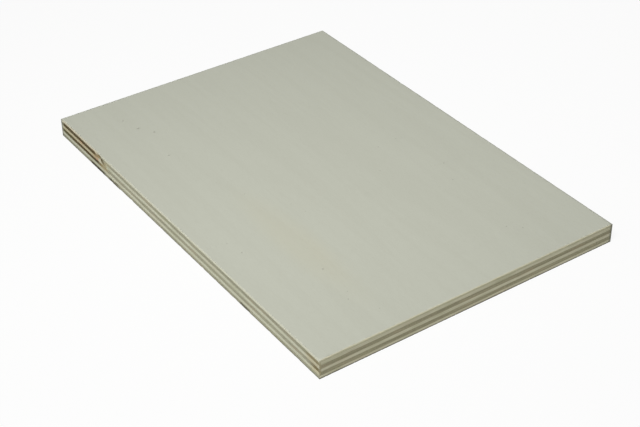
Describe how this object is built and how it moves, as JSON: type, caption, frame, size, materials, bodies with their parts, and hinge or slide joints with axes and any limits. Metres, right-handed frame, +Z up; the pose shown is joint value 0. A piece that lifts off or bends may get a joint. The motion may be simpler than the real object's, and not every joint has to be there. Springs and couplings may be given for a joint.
{
  "type": "plywood sheet",
  "caption": "Flat rectangular sheet of pale poplar plywood with layered edges, eased arrises and a scorched saw mark on one long edge.",
  "frame": {"origin": "centre of the underside, on the surface that the sheet rests on", "axes": "+X along the long side and the face grain, +Y along the short side, +Z up out of the face veneer"},
  "size_m": [0.42, 0.297, 0.018],
  "materials": {
    "veneer": "sanded, unfinished",
    "crossband": "sawn end grain",
    "long_ply": "sawn long grain"
  },
  "bodies": {
    "root": {"face_veneer": "veneer", "upper_crossband": "crossband", "upper_long_ply": "long_ply", "centre_crossband": "crossband", "lower_long_ply": "long_ply", "lower_crossband": "crossband", "back_veneer": "veneer"}
  },
  "joints": []
}
